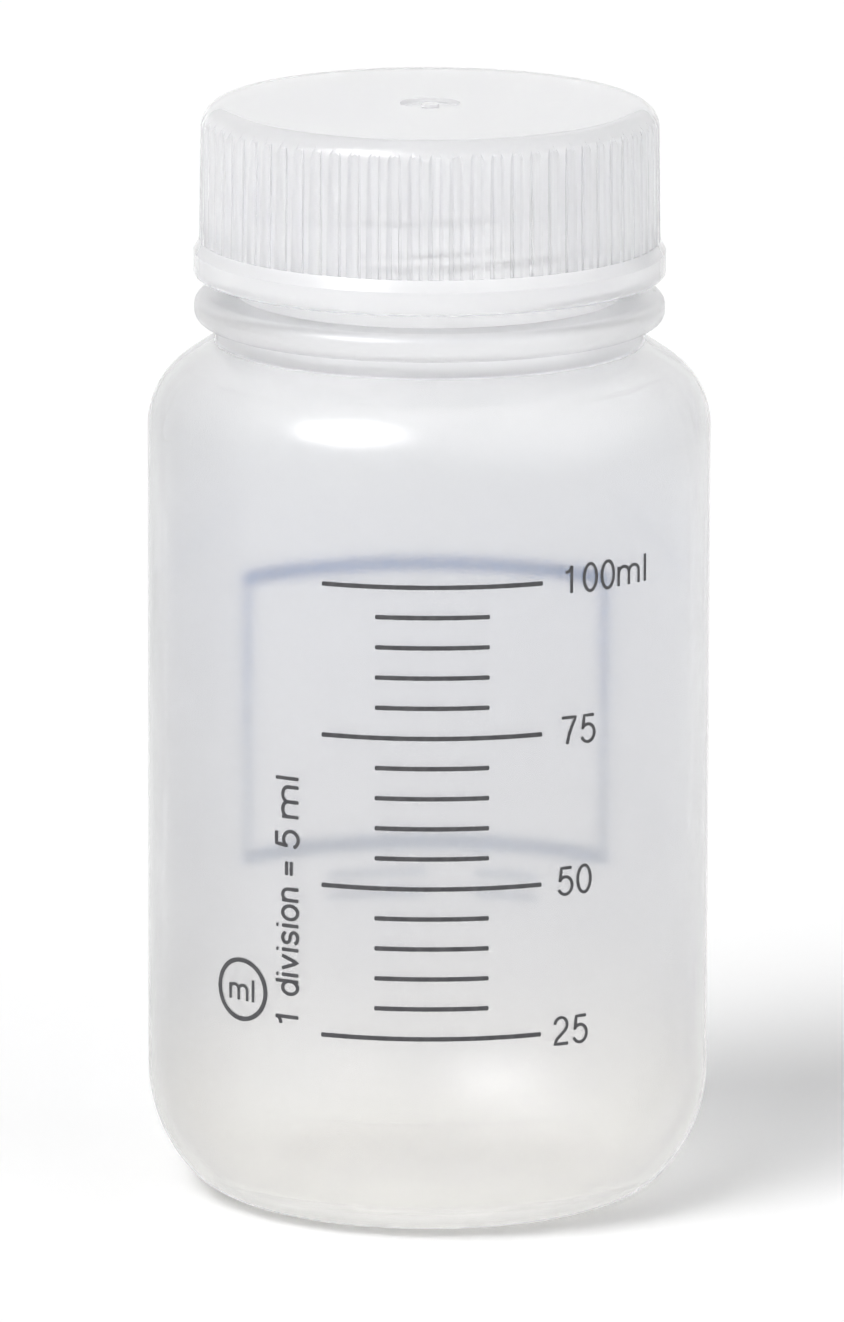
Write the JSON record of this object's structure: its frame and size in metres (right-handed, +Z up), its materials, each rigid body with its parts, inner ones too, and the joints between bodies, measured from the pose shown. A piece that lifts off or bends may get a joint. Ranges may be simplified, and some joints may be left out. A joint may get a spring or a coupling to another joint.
{
  "type": "graduated screw-cap bottle",
  "caption": "Wide-mouth translucent plastic bottle with a round shoulder, a neck flange, a printed volume scale and a ribbed screw cap that turns and rises on a coarse thread.",
  "frame": {"origin": "middle of the standing ring of the bottle's base, on the surface it stands on", "axes": "+Z up the bottle's axis towards the cap, -Y towards the viewer and the printed scale, +X to the viewer's right"},
  "size_m": [0.051, 0.0512, 0.1],
  "materials": {
    "bottle_plastic": "satin, translucent polypropylene",
    "cap_plastic": "semi-gloss, translucent polypropylene",
    "liner_foam": "matte foamed polyethylene",
    "scale_ink": "matte screen-printed ink",
    "frame_ink": "matte screen-printed ink"
  },
  "bodies": {
    "bottle": {"bottle": "bottle_plastic", "graduation_lines": "scale_ink", "label_frame": "frame_ink"},
    "liner": {"cap_liner": "liner_foam"},
    "cap": {"screw_cap": "cap_plastic"}
  },
  "joints": [
    {"name": "cap_lift", "type": "slide", "parent": "bottle", "child": "liner", "axis": [0, 0, 1], "range_m": [0, 0.01694]},
    {"name": "cap_turn", "type": "hinge", "parent": "liner", "child": "cap", "pos_m": [0, 0, 0.092], "axis": [0, 0, 1], "range_deg": [0, 1440]}
  ],
  "couplings": [
    {"joint": "cap_lift", "follows": "cap_turn", "m_per_rad": 0.0006737}
  ]
}
